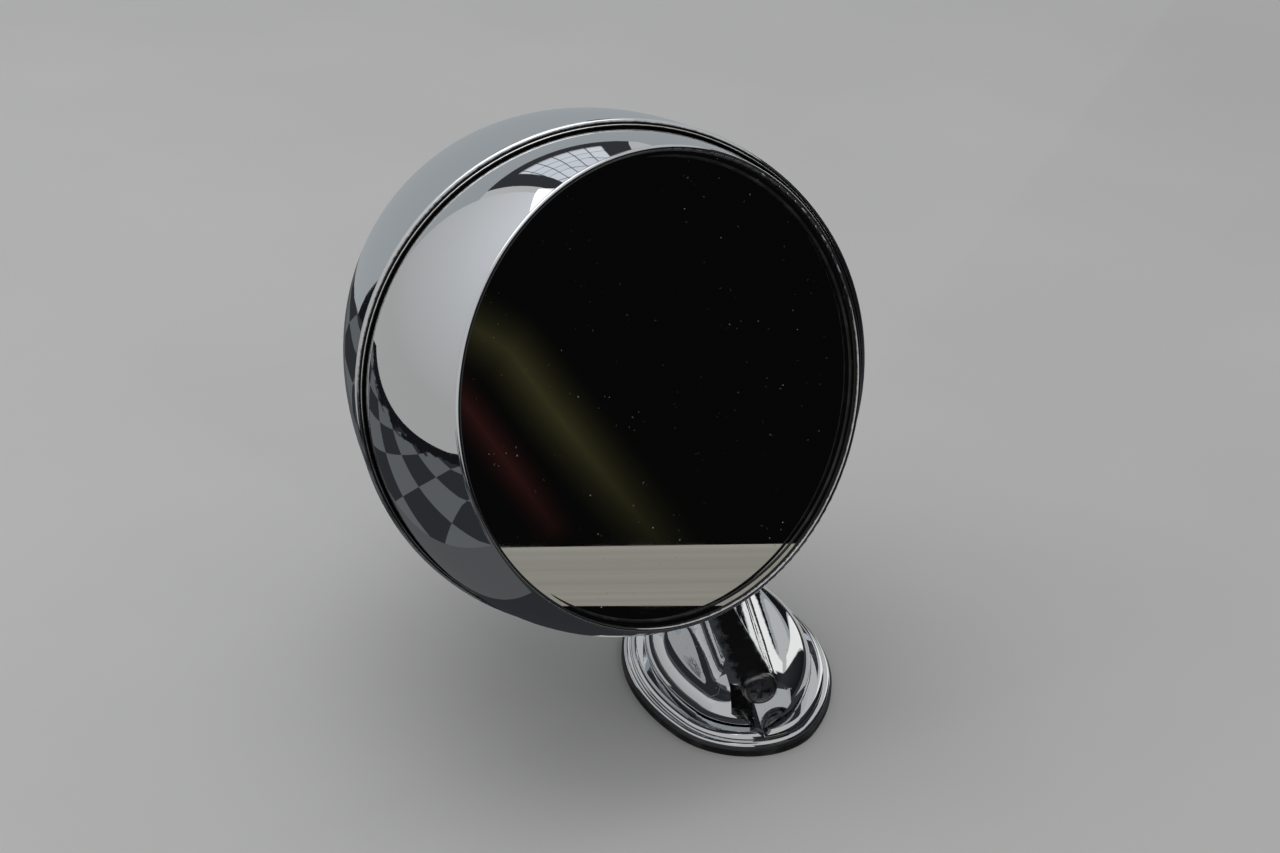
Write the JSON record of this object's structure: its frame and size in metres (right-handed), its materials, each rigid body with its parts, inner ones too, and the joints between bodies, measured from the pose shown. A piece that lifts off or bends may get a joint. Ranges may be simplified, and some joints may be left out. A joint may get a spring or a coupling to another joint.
{
  "type": "door mirror",
  "caption": "Round chrome door mirror: a beaded oval foot and leaning neck carry a bullet shell, in whose mouth a ball-shaped glass holder swivels.",
  "frame": {"origin": "on the door's face, under the middle of the foot", "axes": "+Z out of the door, -Y back towards the driver, +X inboard on a left-hand door"},
  "size_m": [0.1155, 0.1344, 0.1552],
  "materials": {
    "gasket_rubber": "moulded, slightly glossy",
    "bracket_steel": "zinc plated, dull",
    "screw_steel": "zinc plated",
    "chrome_casting": "polished plate on a zinc casting",
    "set_screw_steel": "dark, oiled",
    "chrome_shell": "polished plate",
    "chrome_ring": "polished plate",
    "pivot_steel": "turned and greased",
    "chrome_ball": "polished plate",
    "yoke_steel": "pressed, plated",
    "pad_rubber": "matt foam",
    "mirror_silver": "flat glass, silvered on its back"
  },
  "bodies": {
    "housing": {"door_gasket": "gasket_rubber", "door_bracket": "bracket_steel", "bracket_screws": "screw_steel", "pedestal": "chrome_casting", "set_screw": "set_screw_steel", "neck_screws": "screw_steel", "head_shell": "chrome_shell", "mouth_ring": "chrome_ring", "pivot_post": "pivot_steel"},
    "cross": {"swivel_cross": "pivot_steel"},
    "holder": {"ball_holder": "chrome_ball", "holder_yoke": "yoke_steel", "glass_pad": "pad_rubber", "mirror_glass": "mirror_silver"}
  },
  "joints": [
    {"name": "glass_tilt", "type": "hinge", "parent": "housing", "child": "cross", "pos_m": [-0.0332, -0.02, 0.086], "axis": [0.9925, 0.1219, 0], "range_deg": [-8, 20]},
    {"name": "glass_turn", "type": "hinge", "parent": "cross", "child": "holder", "pos_m": [-0.0332, -0.02, 0.086], "axis": [-0.0375, 0.3051, 0.9516], "range_deg": [-44, 6]}
  ]
}
